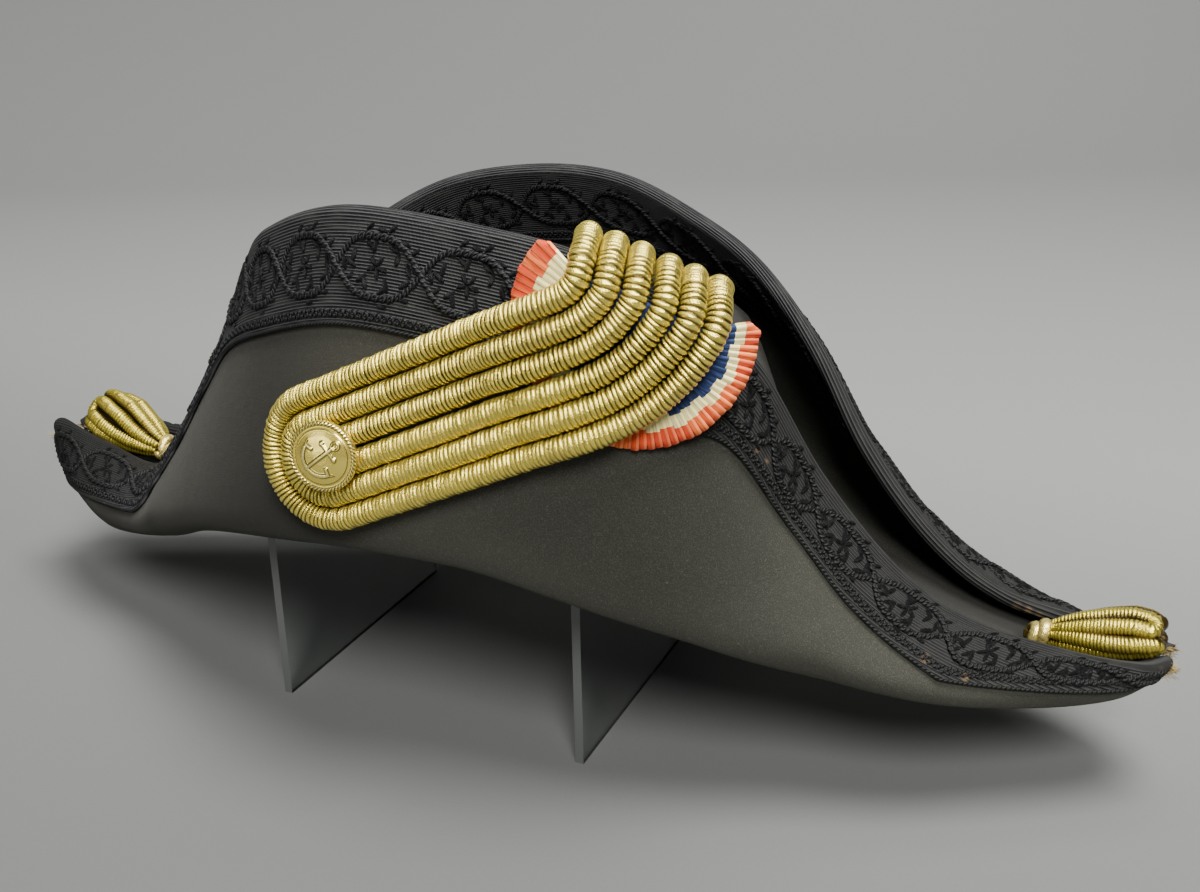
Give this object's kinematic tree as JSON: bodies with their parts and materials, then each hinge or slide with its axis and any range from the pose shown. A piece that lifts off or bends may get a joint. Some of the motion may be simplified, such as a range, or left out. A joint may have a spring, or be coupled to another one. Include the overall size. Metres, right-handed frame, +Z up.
{
  "type": "bicorne on display riser",
  "caption": "Black felt bicorne with ribbed galon binding, pleated cockade, bullion cord loop, domed button and bullion tassels, standing on a clear bent-sheet riser.",
  "frame": {"origin": "middle of the object's box on the floor, under the riser", "axes": "+X towards the hat's front horn, +Z up; the cockade and the cord loop are on the -Y side"},
  "size_m": [0.4335, 0.2029, 0.1887],
  "materials": {
    "felt": "brushed black beaver felt",
    "galon": "ribbed black silk and mohair braid with a leaf pattern",
    "ribbon": "pleated three-colour ribbon",
    "bullion": "coiled gilt wire over a cord",
    "gilt": "polished gilt brass",
    "acrylic": "clear acrylic sheet"
  },
  "bodies": {
    "root": {"felt_body": "felt", "galon_near": "galon", "galon_far": "galon", "cockade": "ribbon", "ganse_outer": "bullion", "ganse_middle": "bullion", "ganse_inner": "bullion", "button": "gilt", "tassel_front": "bullion", "tassel_rear": "bullion", "riser": "acrylic"}
  },
  "joints": []
}
